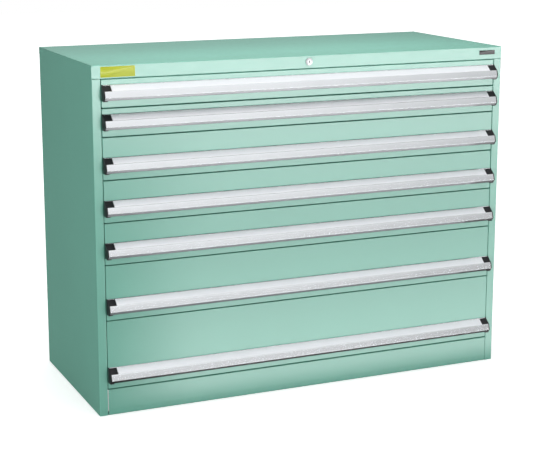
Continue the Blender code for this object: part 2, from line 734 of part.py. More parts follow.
def lock_plug():
    """Key plug with the cam on its rear end and the pin that drives the locking bar."""
    front = -JOINT_GAP - LOCK_RING_THICKNESS - LOCK_PLUG_PROUD
    cam_front = LOCK_BARREL_LENGTH + JOINT_GAP
    cam_back = cam_front + CAM_THICKNESS
    plug = prism(circle(LOCK_PLUG_RADIUS, LOCK_STEPS), "Y", front, cam_back)
    across = Vector((math.cos(CAM_REST_ANGLE), math.sin(CAM_REST_ANGLE))) * CAM_HALF_WIDTH
    pin = Vector((math.sin(CAM_REST_ANGLE), -math.cos(CAM_REST_ANGLE))) * PIN_OFFSET
    tip = pin * (1 + CAM_HALF_WIDTH / PIN_OFFSET)
    lever = [(across, 0), (tip + across, CAM_HALF_WIDTH), (tip - across, CAM_HALF_WIDTH), (-across, 0)]
    cam = prism(rounded(lever, HANDLE_STEPS), "Y", cam_front, cam_back)
    pin_back = BAR_FRONT + BAR_THICKNESS + BAR_RUNNING_GAP
    cam_pin = prism(circle(PIN_RADIUS, PIN_STEPS, pin), "Y", cam_front + CAM_THICKNESS / 2, pin_back)
    keyway = block(
        (-KEYWAY_WIDTH / 2, front - OVERRUN, -KEYWAY_HEIGHT / 2),
        (KEYWAY_WIDTH / 2, front + KEYWAY_DEPTH, KEYWAY_HEIGHT / 2),
    )
    return cut(united(plug, cam, cam_pin), keyway)


def locking_bar():
    """Flat bar behind the top rail with an arm behind the right stile and a finger for each drawer."""
    arm_outer = ARM_INNER + ARM_WIDTH
    fingers = [floor + FINGER_LOW for floor in reversed(drawer_floors())]
    top = BAR_BOTTOM + BAR_HEIGHT
    outline = [
        (-BAR_END, BAR_BOTTOM),
        (-BAR_END, top),
        (arm_outer, top),
        (arm_outer, fingers[0] - ARM_BELOW_FINGER),
        (ARM_INNER, fingers[0] - ARM_BELOW_FINGER),
    ]
    for low in fingers:
        high = low + FINGER_HEIGHT
        outline += [(ARM_INNER, low), (FINGER_TIP, low), (FINGER_TIP, high), (ARM_INNER, high)]
    outline.append((ARM_INNER, BAR_BOTTOM))
    bar = prism(outline, "Y", BAR_FRONT, BAR_FRONT + BAR_THICKNESS)
    pin_x = PIN_OFFSET * math.sin(CAM_REST_ANGLE)
    pin_high = LOCK_HEIGHT - PIN_OFFSET * math.cos(CAM_REST_ANGLE)
    pin_low = LOCK_HEIGHT - PIN_OFFSET
    reach = PIN_RADIUS + BAR_SLOT_CLEARANCE
    slot = block(
        (pin_x - reach, BAR_FRONT - OVERRUN, pin_low - reach),
        (pin_x + reach, BAR_FRONT + BAR_THICKNESS + OVERRUN, pin_high + reach),
    )
    return cut(bar, slot)


def build_carcass(finishes):
    root = empty("cabinet", (0, FRONT_PLANE_Y, 0))
    side = side_panel()
    frame = runner_frame()
    piece("side_panel_right", side, finishes["mint_paint"], root)
    piece("side_panel_left", mirrored(side), finishes["mint_paint"], root)
    piece("runner_frame_right", frame, finishes["galvanised_steel"], root)
    piece("runner_frame_left", mirrored(frame), finishes["galvanised_steel"], root)
    piece("top_panel", top_panel(), finishes["mint_paint"], root)
    piece("back_panel", back_panel(), finishes["mint_paint"], root)
    piece("bottom_panel", bottom_panel(), finishes["mint_paint"], root)
    piece("plinth_panel", plinth_panel(), finishes["mint_paint"], root)
    return root


def build_lock(finishes, root):
    axis = empty("lock", (0, 0, LOCK_HEIGHT), root)
    piece("lock_barrel", lock_barrel(), finishes["lock_chrome"], axis)
    piece("lock_plug", lock_plug(), finishes["lock_chrome"], axis)
    piece("locking_bar", locking_bar(), finishes["galvanised_steel"], root)


def build_drawers(finishes, root):
    rail = middle_rail()
    cap = handle_cap()
    shared = {
        "rail_right": (rail, "slide_steel"),
        "rail_left": (mirrored(rail), "slide_steel"),
        "handle": (handle(), "anodised_aluminium"),
        "handle_cap_right": (cap, "black_plastic"),
        "handle_cap_left": (mirrored(cap), "black_plastic"),
    }
    for number, (units, floor) in enumerate(zip(DRAWER_UNITS, drawer_floors()), start=1):
        drawer = f"drawer_{number}"
        place = empty(drawer, (0, 0, floor), root)
        height = units * DRAWER_UNIT
        piece(f"{drawer}_front", drawer_front(height), finishes["mint_paint"], place)
        piece(f"{drawer}_tray", drawer_tray(height), finishes["galvanised_steel"], place)
        for name, (mesh, finish) in shared.items():
            piece(f"{drawer}_{name}", mesh, finishes[finish], place)


def main():
    clear_scene()
    finishes = make_finishes()
    root = build_carcass(finishes)
    build_lock(finishes, root)
    build_drawers(finishes, root)


main()
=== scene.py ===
"""Finishes, small parts and studio for the drawer cabinet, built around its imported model.

Everything is in metres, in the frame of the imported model: +X to the right, +Y to the back, +Z up,
with the origin on the floor under the middle of the cabinet. In the handle's section, depth is
measured forwards from the plane of the drawer fronts.
"""

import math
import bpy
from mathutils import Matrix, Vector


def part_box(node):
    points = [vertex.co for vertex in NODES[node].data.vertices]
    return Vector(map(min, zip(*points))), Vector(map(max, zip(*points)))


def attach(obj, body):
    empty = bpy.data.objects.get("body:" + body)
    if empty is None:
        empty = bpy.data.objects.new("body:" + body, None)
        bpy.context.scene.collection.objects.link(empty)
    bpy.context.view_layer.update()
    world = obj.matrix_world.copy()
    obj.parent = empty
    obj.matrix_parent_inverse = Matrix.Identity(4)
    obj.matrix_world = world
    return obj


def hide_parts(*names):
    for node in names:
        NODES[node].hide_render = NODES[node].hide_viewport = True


bl_info = {
    "name": "Drawer cabinet finishes",
    "version": (1, 0, 0),
    "blender": (4, 5, 0),
    "location": "3D View > Sidebar > Cabinet",
    "description": "Gives the packed drawer cabinet its finishes, small parts and studio",
    "category": "Object",
}

import bmesh
import bpy
from bpy.props import FloatProperty, FloatVectorProperty, IntProperty, PointerProperty
from mathutils import Matrix, Vector

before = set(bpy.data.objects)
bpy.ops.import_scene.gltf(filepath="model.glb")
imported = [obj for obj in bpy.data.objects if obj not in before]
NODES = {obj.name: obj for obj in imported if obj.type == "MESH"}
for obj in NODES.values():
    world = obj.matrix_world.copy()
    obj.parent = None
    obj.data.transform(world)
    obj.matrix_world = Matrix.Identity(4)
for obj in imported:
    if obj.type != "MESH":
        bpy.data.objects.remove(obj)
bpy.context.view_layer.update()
DRAWERS = range(1, 8)

# The photograph's width, and its camera as fitted to the cabinet's corners
PHOTO_WIDTH_PX = 540
CAMERA_PLACE = (-1.7507, -3.9764, 1.4401)
CAMERA_TURN = math.radians(-23.661)
CAMERA_DROP = math.radians(11.825)
CAMERA_FOCAL_PX = 1427.2
CAMERA_SHIFT_PX = -27
SENSOR_WIDTH_MM = 36

# Handle section: depth before the drawer front, height above its lower edge. The nose is
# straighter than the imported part's, its chin is flat, and its ridge stands 1.1 mm further back
SECTION_GAP = 0.0003
SECTION_TOP_DEPTH = 0.0025
SECTION_RIDGE = (0.0234, 0.025)
SECTION_FLANGE_HEIGHT = 0.026
SECTION_WALL = 0.002
SECTION_CURL_WIDTH = 0.0095
SECTION_CURL_HEIGHT = 0.0035
SECTION_EDGE_RADIUS = 0.0006
SECTION_RIDGE_RADIUS = 0.003
SECTION_NOSE_HEIGHT = 0.0088
SECTION_CHIN_SETBACK = 0.0072
SECTION_CHIN_RADIUS = 0.0006
LIP_WIDTH = 0.0020
LIP_THICKNESS = 0.0008
LIP_OVERHANG = 0.0007
LIP_EDGE_RADIUS = LIP_THICKNESS / 3
LABEL_RECESS = 0.0017

# End caps of the handles. The top of the tab is measured out of the slope's face
CAP_PLATE = 0.003
CAP_HEEL_RADIUS = 0.003
CAP_TAB_LENGTH = 0.021
CAP_TAB_CLEARANCE = 0.0004
CAP_TAB_TOP = -0.0003
CAP_FOOT_LENGTH = 0.009
CAP_FOOT_DEPTH = 0.008
CAP_FOOT_THICKNESS = 0.0022
CAP_EDGE = 0.0004

# Clear strip with its card, in the channel of the slope. Its crown is measured as the tab's top is
STRIP_CLEARANCE = 0.0001
STRIP_END_GAP = 0.0008
STRIP_CROWN = -0.0004
STRIP_EDGE_RADIUS = 0.0003
STRIP_CORNER_STEPS = 3

# Lock
RING_RADIUS = 0.011
RING_THICKNESS = 0.0025
RING_EDGE = 0.0019
PLUG_BORE = 0.0063
BARREL_RADIUS = 0.009
BARREL_LENGTH = 0.0125
KEY_SLOT = (0.0026, 0.0078)  # width, height
# Thickness of a black sheet on the plug's face that stands for the keyway's painted shade
KEYWAY_SHADE_SHEET = 0.0002
NUT_RADIUS = 0.013
NUT_THICKNESS = 0.004
NUT_SIDES = 6
NUT_EDGE = 0.0004
SHEET = 0.0012
LOCK_STEPS = 64
LOCK_CORNER_STEPS = 4

# Blank plates on the rail: X and Z of the centre, radius of the corners, thickness
NOTICE = {"centre": (-0.5755, 0.98075), "radius": 0.0018, "thickness": 0.0002}
NAME_PLATE = {"centre": (0.59875, 0.9835), "radius": 0.0010, "thickness": 0.0008}
PLATE_GAP = 0.00002
PLATE_CORNER_STEPS = 6
BLACK_INK = (0.012, 0.012, 0.013)

# Meshes
SHARP_ANGLE = math.radians(35)
MERGE_DISTANCE = 0.0000001
BEVEL_STEPS = 2
BEVEL_ARC = 0.5  # bevel profile that gives a true arc
THIN_EDGE = 3  # a thin plate's thickness, divided by the radius of its edge

# Sockets of a Mix node that mixes colours
MIX_FACTOR = 0
MIX_COLOURS = (6, 7)
MIX_RESULT = 2

# Soft panels of the studio: place, the point that each faces, width, depth
PANELS = {
    "front": ((0.7, -5.2, 0.8), (0.1, 0, 0.4), 4.6, 1.4),
    "left": ((-5.0, -2.2, 0.9), (0, 0.1, 0.5), 2.8, 1.6),
    "overhead": ((0.1, -1.1, 4.5), (0, -0.1, 0.8), 2.6, 1.8),
    "rear": ((0, 2.4, 5.0), (0, 0.1, 1), 2.2, 1.2),
    "edge": ((0, -0.15, 1.3), (0, -0.15, 1.0), 1.4, 0.06),
}
WHITE = (1, 1, 1, 1)

# Floor: half its side, the greys and scale of its cloud, and the light that it adds to what the
# camera sees, which grows with the distance from the cabinet until the floor is white
FLOOR_HALF = 14.0
FLOOR_GREYS = (0.79, 0.81)
FLOOR_CLOUD_SCALE = 1.5
FLOOR_LIGHT = 0.55
FLOOR_LIGHT_START = 2.0
FLOOR_LIGHT_RISE = 0.2

# The floor's glow in gloss, by distance ahead of the drawer fronts. It grows from the cabinet's
# foot, falls a little, grows again in the middle distance, and is brightest far off
GLOW_AT_FOOT = 0.2
GLOW_FOOT_RISE = 20.0
GLOW_NEAR = 3.4
GLOW_NEAR_FALL = 0.75
GLOW_NEAR_LEAST = 2.25
GLOW_MIDDLE_START = 2.2
GLOW_MIDDLE_LENGTH = 1.3
GLOW_MIDDLE_RISE = 0.9
GLOW_FAR_START = 6.0
GLOW_FAR_RISE = 5.0
GLOW_FAR_GAIN = 5.0
GLOW_MOST = 9.0
GLOW_BEHIND_SHARE = 0.25  # of what glossy faces see behind the cabinet

# The glow is set out in half-widths of the patch of floor that the fronts mirror, which leans to
# the right and widens with distance. It fades at that patch's left edge, and less so far off
PATCH_LEAN = 0.466
PATCH_HALF = 0.65
PATCH_WIDENING = 0.16
FADE_EDGE = -1.03
FADE_RISE = 2.2
FADE_FAR_START = 3.0
FADE_FAR_RISE = 0.25
FADE_LEAST = 0.1

# What glossy faces see of the studio, by direction: where each part starts, and how fast it grows
BEHIND = (0.0, 2.5)
FAR_RIGHT = (0.42, 5.0)
FAR_LEFT = (0.5, 4.0)
ABOVE_HORIZON = (0.15, 5.0)
LIT_BEHIND = (0.1, 80.0)
LIT_BEHIND_GAIN = 0.15


# ---- node graphs


class Value:
    """A socket that can stand in a sum. Each operation adds a Math node to its graph."""

    def __init__(self, graph, socket):
        self.graph = graph
        self.socket = socket

    def math(self, operation, *others):
        return self.graph.node("ShaderNodeMath", {"operation": operation}, (self, *others))

    def __add__(self, other):
        return self.math("ADD", other)

    def __mul__(self, other):
        return self.math("MULTIPLY", other)

    def __sub__(self, other):
        return self.math("SUBTRACT", other)

    def __rsub__(self, other):
        return self.graph.node("ShaderNodeMath", {"operation": "SUBTRACT"}, (other, self))

    def __truediv__(self, other):
        return self.math("DIVIDE", other)

    __radd__ = __add__
    __rmul__ = __mul__

    def larger(self, other):
        return self.math("MAXIMUM", other)

    def smaller(self, other):
        return self.math("MINIMUM", other)

    def held(self, least, most):
        """The value, kept between two others."""
        return self.larger(least).smaller(most)

    def grown(self, start, rate):
        """0 up to the start, and then growing at the rate until it is 1."""
        return ((self - start) * rate).held(0.0, 1.0)

    def other(self, name):
        """Another output of the same node."""
        return Value(self.graph, self.socket.node.outputs[name])


class Graph:
    """Makes nodes in one node tree."""

    def __init__(self, tree):
        self.tree = tree

    def node(self, kind, settings=None, inputs=(), output=0):
        made = self.tree.nodes.new(kind)
        for name, setting in (settings or {}).items():
            setattr(made, name, setting)
        pairs = inputs.items() if isinstance(inputs, dict) else enumerate(inputs)
        for name, value in pairs:
            socket = made.inputs[name]
            if isinstance(value, Value):
                self.tree.links.new(value.socket, socket)
            else:
                socket.default_value = value
        return Value(self, made.outputs[output]) if made.outputs else made

    def between(self, factor, *colours):
        """A colour between two, each a plain colour or a socket."""
        inputs = {MIX_FACTOR: factor}
        for socket, colour in zip(MIX_COLOURS, colours):
            inputs[socket] = (*colour, 1) if isinstance(colour, tuple) else colour
        return self.node("ShaderNodeMix", {"data_type": "RGBA"}, inputs, MIX_RESULT)


class Finish(Graph):
    """A material with a Principled shader, its patterns set out in the part's own coordinates."""

    def __init__(self, name, **constants):
        self.material = bpy.data.materials.new(name)
        self.material.use_nodes = True
        super().__init__(self.material.node_tree)
        self.shader = self.tree.nodes["Principled BSDF"]
        for socket, value in constants.items():
            self.set(socket.replace("_", " "), value)
        self.place = self.node("ShaderNodeTexCoord", output="Object")

    def set(self, socket, value):
        if isinstance(value, Value):
            self.tree.links.new(value.socket, self.shader.inputs[socket])
        else:
            self.shader.inputs[socket].default_value = value

    def stretched(self, scale):
        """The part's coordinates, scaled along each axis."""
        inputs = {"Vector": self.place, "Scale": scale}
        return self.node("ShaderNodeMapping", {"vector_type": "POINT"}, inputs)

    def noise(self, scale, detail=2.0, place=None):
        inputs = {"Vector": place or self.place, "Scale": scale, "Detail": detail}
        return self.node("ShaderNodeTexNoise", None, inputs)

    def cells(self, scale):
        """A random value for each Voronoi cell."""
        inputs = {"Vector": self.place, "Scale": scale}
        colour = self.node("ShaderNodeTexVoronoi", {"feature": "F1"}, inputs, "Color")
        return self.node("ShaderNodeSeparateColor", None, (colour,))

    def ramp(self, value, low, high):
        """The value, spread from 0 at low to 1 at high."""
        inputs = {"Value": value, "From Min": low, "From Max": high}
        return self.node("ShaderNodeMapRange", None, inputs)

    def colour(self, pattern, first, second):
        """Gives the surface a colour between two, by a pattern."""
        self.set("Base Color", self.between(pattern, first, second))

    def bump(self, height, strength, depth):
        inputs = {"Height": height, "Strength": strength, "Distance": depth}
        self.set("Normal", self.node("ShaderNodeBump", None, inputs))


def linear(colour):
    """Linear values of an sRGB colour given as shares of white."""
    return tuple(c / 12.92 if c <= 0.04045 else ((c + 0.055) / 1.055) ** 2.4 for c in colour)


def shade(colour, factor):
    return tuple(min(1.0, c * factor) for c in colour)


# ---- sizes and colours that a user would change


class PaintSettings(bpy.types.PropertyGroup):
    mint: FloatVectorProperty(
        name="Mint",
        description="Colour of the powder coat",
        subtype="COLOR",
        size=3,
        min=0,
        max=1,
        default=(0.175, 0.470, 0.370),
    )
    grain: FloatProperty(
        name="Grain size",
        description="Size of one dimple of the powder coat's orange peel",
        subtype="DISTANCE",
        unit="LENGTH",
        default=0.0016,
    )
    grain_depth: FloatProperty(
        name="Grain depth",
        description="Depth of the orange peel",
        subtype="DISTANCE",
        unit="LENGTH",
        default=0.00002,
    )


class MetalSettings(bpy.types.PropertyGroup):
    aluminium: FloatVectorProperty(
        name="Aluminium",
        description="Colour of the anodised handles",
        subtype="COLOR",
        size=3,
        min=0,
        max=1,
        default=(0.93, 0.96, 0.99),
    )
    zinc: FloatVectorProperty(
        name="Zinc",
        description="Colour of the plated sheet and slides",
        subtype="COLOR",
        size=3,
        min=0,
        max=1,
        default=(0.60, 0.62, 0.64),
    )
    arc_steps: IntProperty(
        name="Arc steps",
        description="Faces round each rounded corner of the handle section",
        default=12,
        min=2,
        max=32,
    )


class LabelSettings(bpy.types.PropertyGroup):
    card: FloatVectorProperty(
        name="Card",
        description="Colour of the card behind the clear strip",
        subtype="COLOR",
        size=3,
        min=0,
        max=1,
        default=(0.91, 0.92, 0.965),
    )
    notice_size: FloatVectorProperty(
        name="Notice label",
        description="Width and height of the blank label on the rail",
        size=2,
        unit="LENGTH",
        default=(0.099, 0.0295),
    )
    notice_colour: FloatVectorProperty(
        name="Notice colour",
        description="Colour of the blank label",
        subtype="COLOR",
        size=3,
        min=0,
        max=1,
        default=linear((0.73, 0.77, 0.12)),
    )
    name_plate_size: FloatVectorProperty(
        name="Name plate",
        description="Width and height of the blank name plate",
        size=2,
        unit="LENGTH",
        default=(0.0545, 0.013),
    )


class StudioSettings(bpy.types.PropertyGroup):
    front: FloatProperty(
        name="Front panel",
        description="Power of the soft panel in front",
        subtype="POWER",
        default=56,
    )
    left: FloatProperty(
        name="Left panel",
        description="Power of the soft panel on the left",
        subtype="POWER",
        default=80,
    )
    overhead: FloatProperty(
        name="Overhead panel",
        description="Power of the soft panel overhead",
        subtype="POWER",
        default=82,
    )
    rear: FloatProperty(
        name="Rear panel",
        description="Power of the panel high behind",
        subtype="POWER",
        default=80,
    )
    edge: FloatProperty(
        name="Edge strip",
        description="Power of the soft strip over the front of the top face",
        subtype="POWER",
        default=2.0,
    )
    ambient: FloatProperty(
        name="Ambient",
        description="Strength of the light from all round",
        subtype="FACTOR",
        default=0.31,
    )
    dim_back: FloatProperty(
        name="Dim back",
        description="Strength of what glossy faces see behind the cabinet",
        subtype="FACTOR",
        default=0.36,
    )
    dim_sides: FloatProperty(
        name="Dim sides",
        description="Strength of what glossy faces see far to either side",
        subtype="FACTOR",
        default=0.45,
    )
    dim_low: FloatProperty(
        name="Dim low",
        description="Strength of what glossy faces see just above the horizon",
        subtype="FACTOR",
        default=0.60,
    )


class CabinetLooks(bpy.types.PropertyGroup):
    paint: PointerProperty(type=PaintSettings)
    metal: PointerProperty(type=MetalSettings)
    labels: PointerProperty(type=LabelSettings)
    studio: PointerProperty(type=StudioSettings)


def looks():
    return bpy.context.scene.cabinet_looks


# ---- finishes


def powder_coat(name, colour):
    """Semi-gloss powder coat: an orange peel and a slight change of tone from place to place."""
    paint = looks().paint
    finish = Finish(name, IOR=1.85)
    cloud = finish.ramp(finish.noise(scale=2.6, detail=3.0), low=0.3, high=0.7)
    fleck = finish.noise(scale=420.0)
    finish.colour(cloud * 0.7 + fleck * 0.3, shade(colour, 0.965), shade(colour, 1.035))
    finish.set("Roughness", 0.18 + finish.noise(scale=60.0) * 0.06)
    peel = finish.noise(scale=1 / paint.grain, detail=1.0)
    finish.bump(peel, strength=0.15, depth=paint.grain_depth)
    return finish.material


def anodised(name, colour):
    """Satin anodised extrusion: faint die lines that run along X, and painted shade on faces that
    point down.
    """
    finish = Finish(name, Metallic=1.0)
    facing = finish.node("ShaderNodeNewGeometry", output="Normal")
    upward = finish.node("ShaderNodeSeparateXYZ", None, (facing,)).other("Z")
    # Painted shade: a mask on faces that point down, which darkens them towards 0.22 of the colour
    painted_shade_below = finish.ramp(upward, low=-0.2, high=-0.5)
    die = finish.stretched((2.0, 1500.0, 1500.0))
    lines = finish.noise(scale=1.0, detail=3.0, place=die)
    patches = finish.noise(scale=9.0)
    clean = finish.between(lines * 0.6 + patches * 0.4, shade(colour, 0.97), colour)
    finish.colour(painted_shade_below * 0.9 + patches * 0.1, clean, shade(colour, 0.22))
    finish.set("Roughness", 0.18 + lines * 0.04)
    finish.bump(lines, strength=0.012, depth=0.00002)
    return finish.material


def zinc_sheet(name, colour):
    """Galvanised sheet: crystals of the spangle, with a fine rolled grain."""
    finish = Finish(name, Metallic=0.9)
    spangle = finish.cells(scale=95.0)
    rolled = finish.stretched((500.0, 14.0, 500.0))
    grain = finish.noise(scale=1.0, place=rolled)
    finish.colour(spangle * 0.65 + grain * 0.35, shade(colour, 0.80), shade(colour, 1.12))
    finish.set("Roughness", 0.34 + spangle * 0.12 + grain * 0.06)
    finish.bump(grain, strength=0.15, depth=0.00003)
    return finish.material


def drawn_steel(name, colour):
    """Bright plated slide steel, drawn along Y."""
    finish = Finish(name, Metallic=1.0)
    drawn = finish.stretched((1800.0, 5.0, 1800.0))
    lines = finish.noise(scale=1.0, detail=3.0, place=drawn)
    finish.colour(lines, shade(colour, 0.85), shade(colour, 1.15))
    finish.set("Roughness", 0.22 + lines * 0.14)
    finish.bump(lines, strength=0.25, depth=0.00002)
    return finish.material


def moulded_black(name):
    """Black moulded plastic with a fine spark grain."""
    finish = Finish(name, IOR=1.35)
    grain = finish.noise(scale=1500.0)
    finish.colour(grain, (0.010, 0.010, 0.012), (0.020, 0.020, 0.023))
    finish.set("Roughness", 0.28 + grain * 0.12)
    finish.bump(grain, strength=0.25, depth=0.00002)
    return finish.material


def bright_plate(name):
    """Polished plating of the lock."""
    finish = Finish(name, Metallic=1.0)
    haze = finish.noise(scale=260.0)
    finish.colour(haze, (0.46, 0.47, 0.49), (0.54, 0.55, 0.56))
    finish.set("Roughness", 0.28 + haze * 0.12)
    return finish.material


def label_card(name, colour):
    """White card under a clear glossy strip."""
    finish = Finish(name, Coat_Weight=1.0, Coat_Roughness=0.05)
    fibre = finish.noise(scale=520.0, detail=3.0)
    finish.colour(fibre, shade(colour, 0.96), shade(colour, 1.03))
    finish.set("Roughness", 0.40 + fibre * 0.08)
    return finish.material


def printed_film(name, colour, roughness):
    """Plain film of a blank label, printed edge to edge in one ink."""
    finish = Finish(name, Coat_Weight=0.4, Coat_Roughness=0.15)
    ink = finish.noise(scale=300.0)
    finish.colour(ink, shade(colour, 0.92), shade(colour, 1.04))
    finish.set("Roughness", roughness + ink * 0.08)
    return finish.material


def dress(node, material):
    """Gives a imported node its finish."""
    NODES[node].material_slots[0].material = material


# ---- pieces


def new_piece(name, mesh, material, body, replaced=()):
    """Puts a finished mesh in the scene as a piece that rides on a body."""
    mesh.name = name
    mesh.materials.append(material)
    piece = bpy.data.objects.new(name, mesh)
    bpy.context.scene.collection.objects.link(piece)
    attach(piece, body)
    if replaced:
        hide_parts(*replaced)


def front_plane():
    """Y of the plane of the drawer fronts."""
    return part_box("drawer_1_front")[0].y


def rounded(corners, steps):
    """Outline through (point, radius) corners, each turned by an arc of its radius."""
    outline = []
    for i, (corner, radius) in enumerate(corners):
        point = Vector(corner)
        before = (point - Vector(corners[i - 1][0])).normalized()
        after = (Vector(corners[(i + 1) % len(corners)][0]) - point).normalized()
        turn = math.atan2(before.cross(after), before.dot(after))
        if radius <= 0 or turn == 0:
            outline.append(point)
            continue
        side = math.copysign(1, turn)
        start = point - before * radius * math.tan(abs(turn) / 2)
        spoke = Vector((before.y, -before.x)) * radius * side
        for step in range(steps + 1):
            outline.append(start - spoke + Matrix.Rotation(turn * step / steps, 2) @ spoke)
    return outline


def rounded_rectangle(size, radius, steps, centre=(0, 0)):
    """Outline of a rectangle with rounded corners."""
    right, top = size[0] / 2, size[1] / 2
    corners = ((right, -top), (right, top), (-right, top), (-right, -top))
    outline = rounded([(corner, radius) for corner in corners], steps)
    return [point + Vector(centre) for point in outline]


def finished(shape, name):
    """The smooth mesh of a bmesh, with its sharp edges kept sharp."""
    mesh = bpy.data.meshes.new(name)
    shape.to_mesh(mesh)
    shape.free()
    mesh.shade_smooth()
    mesh.set_sharp_from_angle(angle=SHARP_ANGLE)
    return mesh


def tidied(shape, name):
    """The mesh of a closed bmesh, with its doubles merged and its faces turned outwards."""
    bmesh.ops.remove_doubles(shape, verts=shape.verts, dist=MERGE_DISTANCE)
    bmesh.ops.recalc_face_normals(shape, faces=shape.faces)
    return finished(shape, name)


def towards_back(u, v, along):
    """A point of an outline in (x, z) that is drawn out along Y."""
    return (u, along, v)


def towards_right(u, v, along):
    """A point of an outline in (depth, height) that is drawn out along X."""
    return (along, -u, v)


def slab(outline, start, end, edge, place):
    """A closed outline drawn out from start to end, with its end edges rounded by edge. The place
    function turns (u, v, along) into a point."""
    shape = bmesh.new()
    face = shape.faces.new([shape.verts.new((u, v, start)) for u, v in outline])
    drawn = bmesh.ops.extrude_face_region(shape, geom=[face])["geom"]
    ends = [item for item in drawn if isinstance(item, bmesh.types.BMVert)]
    bmesh.ops.translate(shape, verts=ends, vec=(0, 0, end - start))
    rims = [e for e in shape.edges if abs(e.verts[0].co.z - e.verts[1].co.z) < MERGE_DISTANCE]
    bmesh.ops.bevel(
        shape, geom=rims, offset=edge, segments=BEVEL_STEPS, profile=BEVEL_ARC, affect="EDGES"
    )
    for vertex in shape.verts:
        vertex.co = place(*vertex.co)
    return tidied(shape, "slab")


def joined(meshes, name):
    """Several meshes as one."""
    shape = bmesh.new()
    for mesh in meshes:
        shape.from_mesh(mesh)
        bpy.data.meshes.remove(mesh)
    return finished(shape, name)


def mirrored(mesh):
    copy = mesh.copy()
    copy.transform(Matrix.Scale(-1, 4, (1, 0, 0)))
    copy.flip_normals()
    return copy


# ---- the handle's section


def handle_height():
    low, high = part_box("drawer_1_handle")
    return high.z - low.z


def handle_depth():
    return front_plane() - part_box("drawer_1_handle")[0].y


def slope():
    """Top point, direction and length of the handle's label slope."""
    top = Vector((SECTION_TOP_DEPTH, handle_height()))
    way = Vector(SECTION_RIDGE) - top
    length = way.length
    return top, way / length, length


def on_slope(along, out):
    """A point of the slope: a distance down it, and a distance out of it."""
    top, way, _ = slope()
    return top + way * along + Vector((-way.y, way.x)) * out


def meet(first, first_way, second, second_way):
    """Where two lines of the section cross."""
    share = (second - first).cross(second_way) / first_way.cross(second_way)
    return first + first_way * share


def handle_outline(steps):
    """The extrusion's section, in depth before the drawer front and height."""
    depth = handle_depth()
    height = handle_height()
    way, length = slope()[1:]
    ridge = Vector(SECTION_RIDGE)
    curl = Vector((depth - SECTION_CURL_WIDTH, 0))
    nose = Vector((depth, SECTION_NOSE_HEIGHT))
    chin = Vector((depth - SECTION_CHIN_SETBACK, 0))
    lower_lip = length - LIP_WIDTH
    inner = LABEL_RECESS + SECTION_WALL
    brow_way = (nose - ridge).normalized()
    brow_in = Vector((brow_way.y, -brow_way.x)) * SECTION_WALL
    chin_way = (chin - nose).normalized()
    chin_in = Vector((chin_way.y, -chin_way.x)) * SECTION_WALL
    upright = Vector((0, 1))
    inner_nose = meet(nose + chin_in, chin_way, ridge + brow_in, brow_way)
    inner_chin = meet(nose + chin_in, chin_way, curl + Vector((SECTION_WALL, 0)), upright)
    inner_ridge = meet(on_slope(0, -inner), way, ridge + brow_in, brow_way)
    back = Vector((SECTION_GAP + SECTION_WALL, 0))
    upper_back = meet(on_slope(0, -inner), way, back, upright)
    corners = [
        ((SECTION_GAP, height - SECTION_FLANGE_HEIGHT), 0),
        ((SECTION_GAP, height), SECTION_EDGE_RADIUS),
        (on_slope(0, 0), SECTION_EDGE_RADIUS),
        (on_slope(LIP_WIDTH, 0), LIP_EDGE_RADIUS),
        (on_slope(LIP_WIDTH, -LIP_THICKNESS), 0),
        (on_slope(LIP_WIDTH - LIP_OVERHANG, -LIP_THICKNESS), 0),
        (on_slope(LIP_WIDTH - LIP_OVERHANG, -LABEL_RECESS), 0),
        (on_slope(lower_lip + LIP_OVERHANG, -LABEL_RECESS), 0),
        (on_slope(lower_lip + LIP_OVERHANG, -LIP_THICKNESS), 0),
        (on_slope(lower_lip, -LIP_THICKNESS), 0),
        (on_slope(lower_lip, 0), LIP_EDGE_RADIUS),
        (ridge, SECTION_RIDGE_RADIUS),
        (nose, SECTION_CHIN_RADIUS),
        (chin, SECTION_CHIN_RADIUS),
        (curl, SECTION_EDGE_RADIUS),
        (curl + Vector((0, SECTION_CURL_HEIGHT)), SECTION_EDGE_RADIUS),
        (curl + Vector((SECTION_WALL, SECTION_CURL_HEIGHT)), SECTION_EDGE_RADIUS),
        (inner_chin, 0),
        (inner_nose, 0),
        (inner_ridge, 0),
        (upper_back, 0),
        ((SECTION_GAP + SECTION_WALL, height - SECTION_FLANGE_HEIGHT), 0),
    ]
    return rounded(corners, steps)


def strip_outline():
    """Section of the clear strip: its edges lie under the lips, its crown stands between them."""
    length = slope()[2]
    first = LIP_WIDTH - LIP_OVERHANG + STRIP_CLEARANCE
    step_in = LIP_WIDTH + STRIP_CLEARANCE
    floor = -LABEL_RECESS + STRIP_CLEARANCE
    shoulder = -LIP_THICKNESS - STRIP_CLEARANCE
    half = [
        (first, floor, 0),
        (first, shoulder, 0),
        (step_in, shoulder, 0),
        (step_in, STRIP_CROWN, STRIP_EDGE_RADIUS),
    ]
    other_half = [(length - along, out, radius) for along, out, radius in reversed(half)]
    corners = [(on_slope(along, out), radius) for along, out, radius in half + other_half]
    return rounded(corners, STRIP_CORNER_STEPS)


# ---- the extrusion, by geometry nodes


def outline_mesh(points):
    """A closed line of edges, as the base of an extrusion."""
    mesh = bpy.data.meshes.new("section")
    edges = [(i, (i + 1) % len(points)) for i in range(len(points))]
    mesh.from_pydata([(depth, -height, 0) for depth, height in points], edges, [])
    return mesh


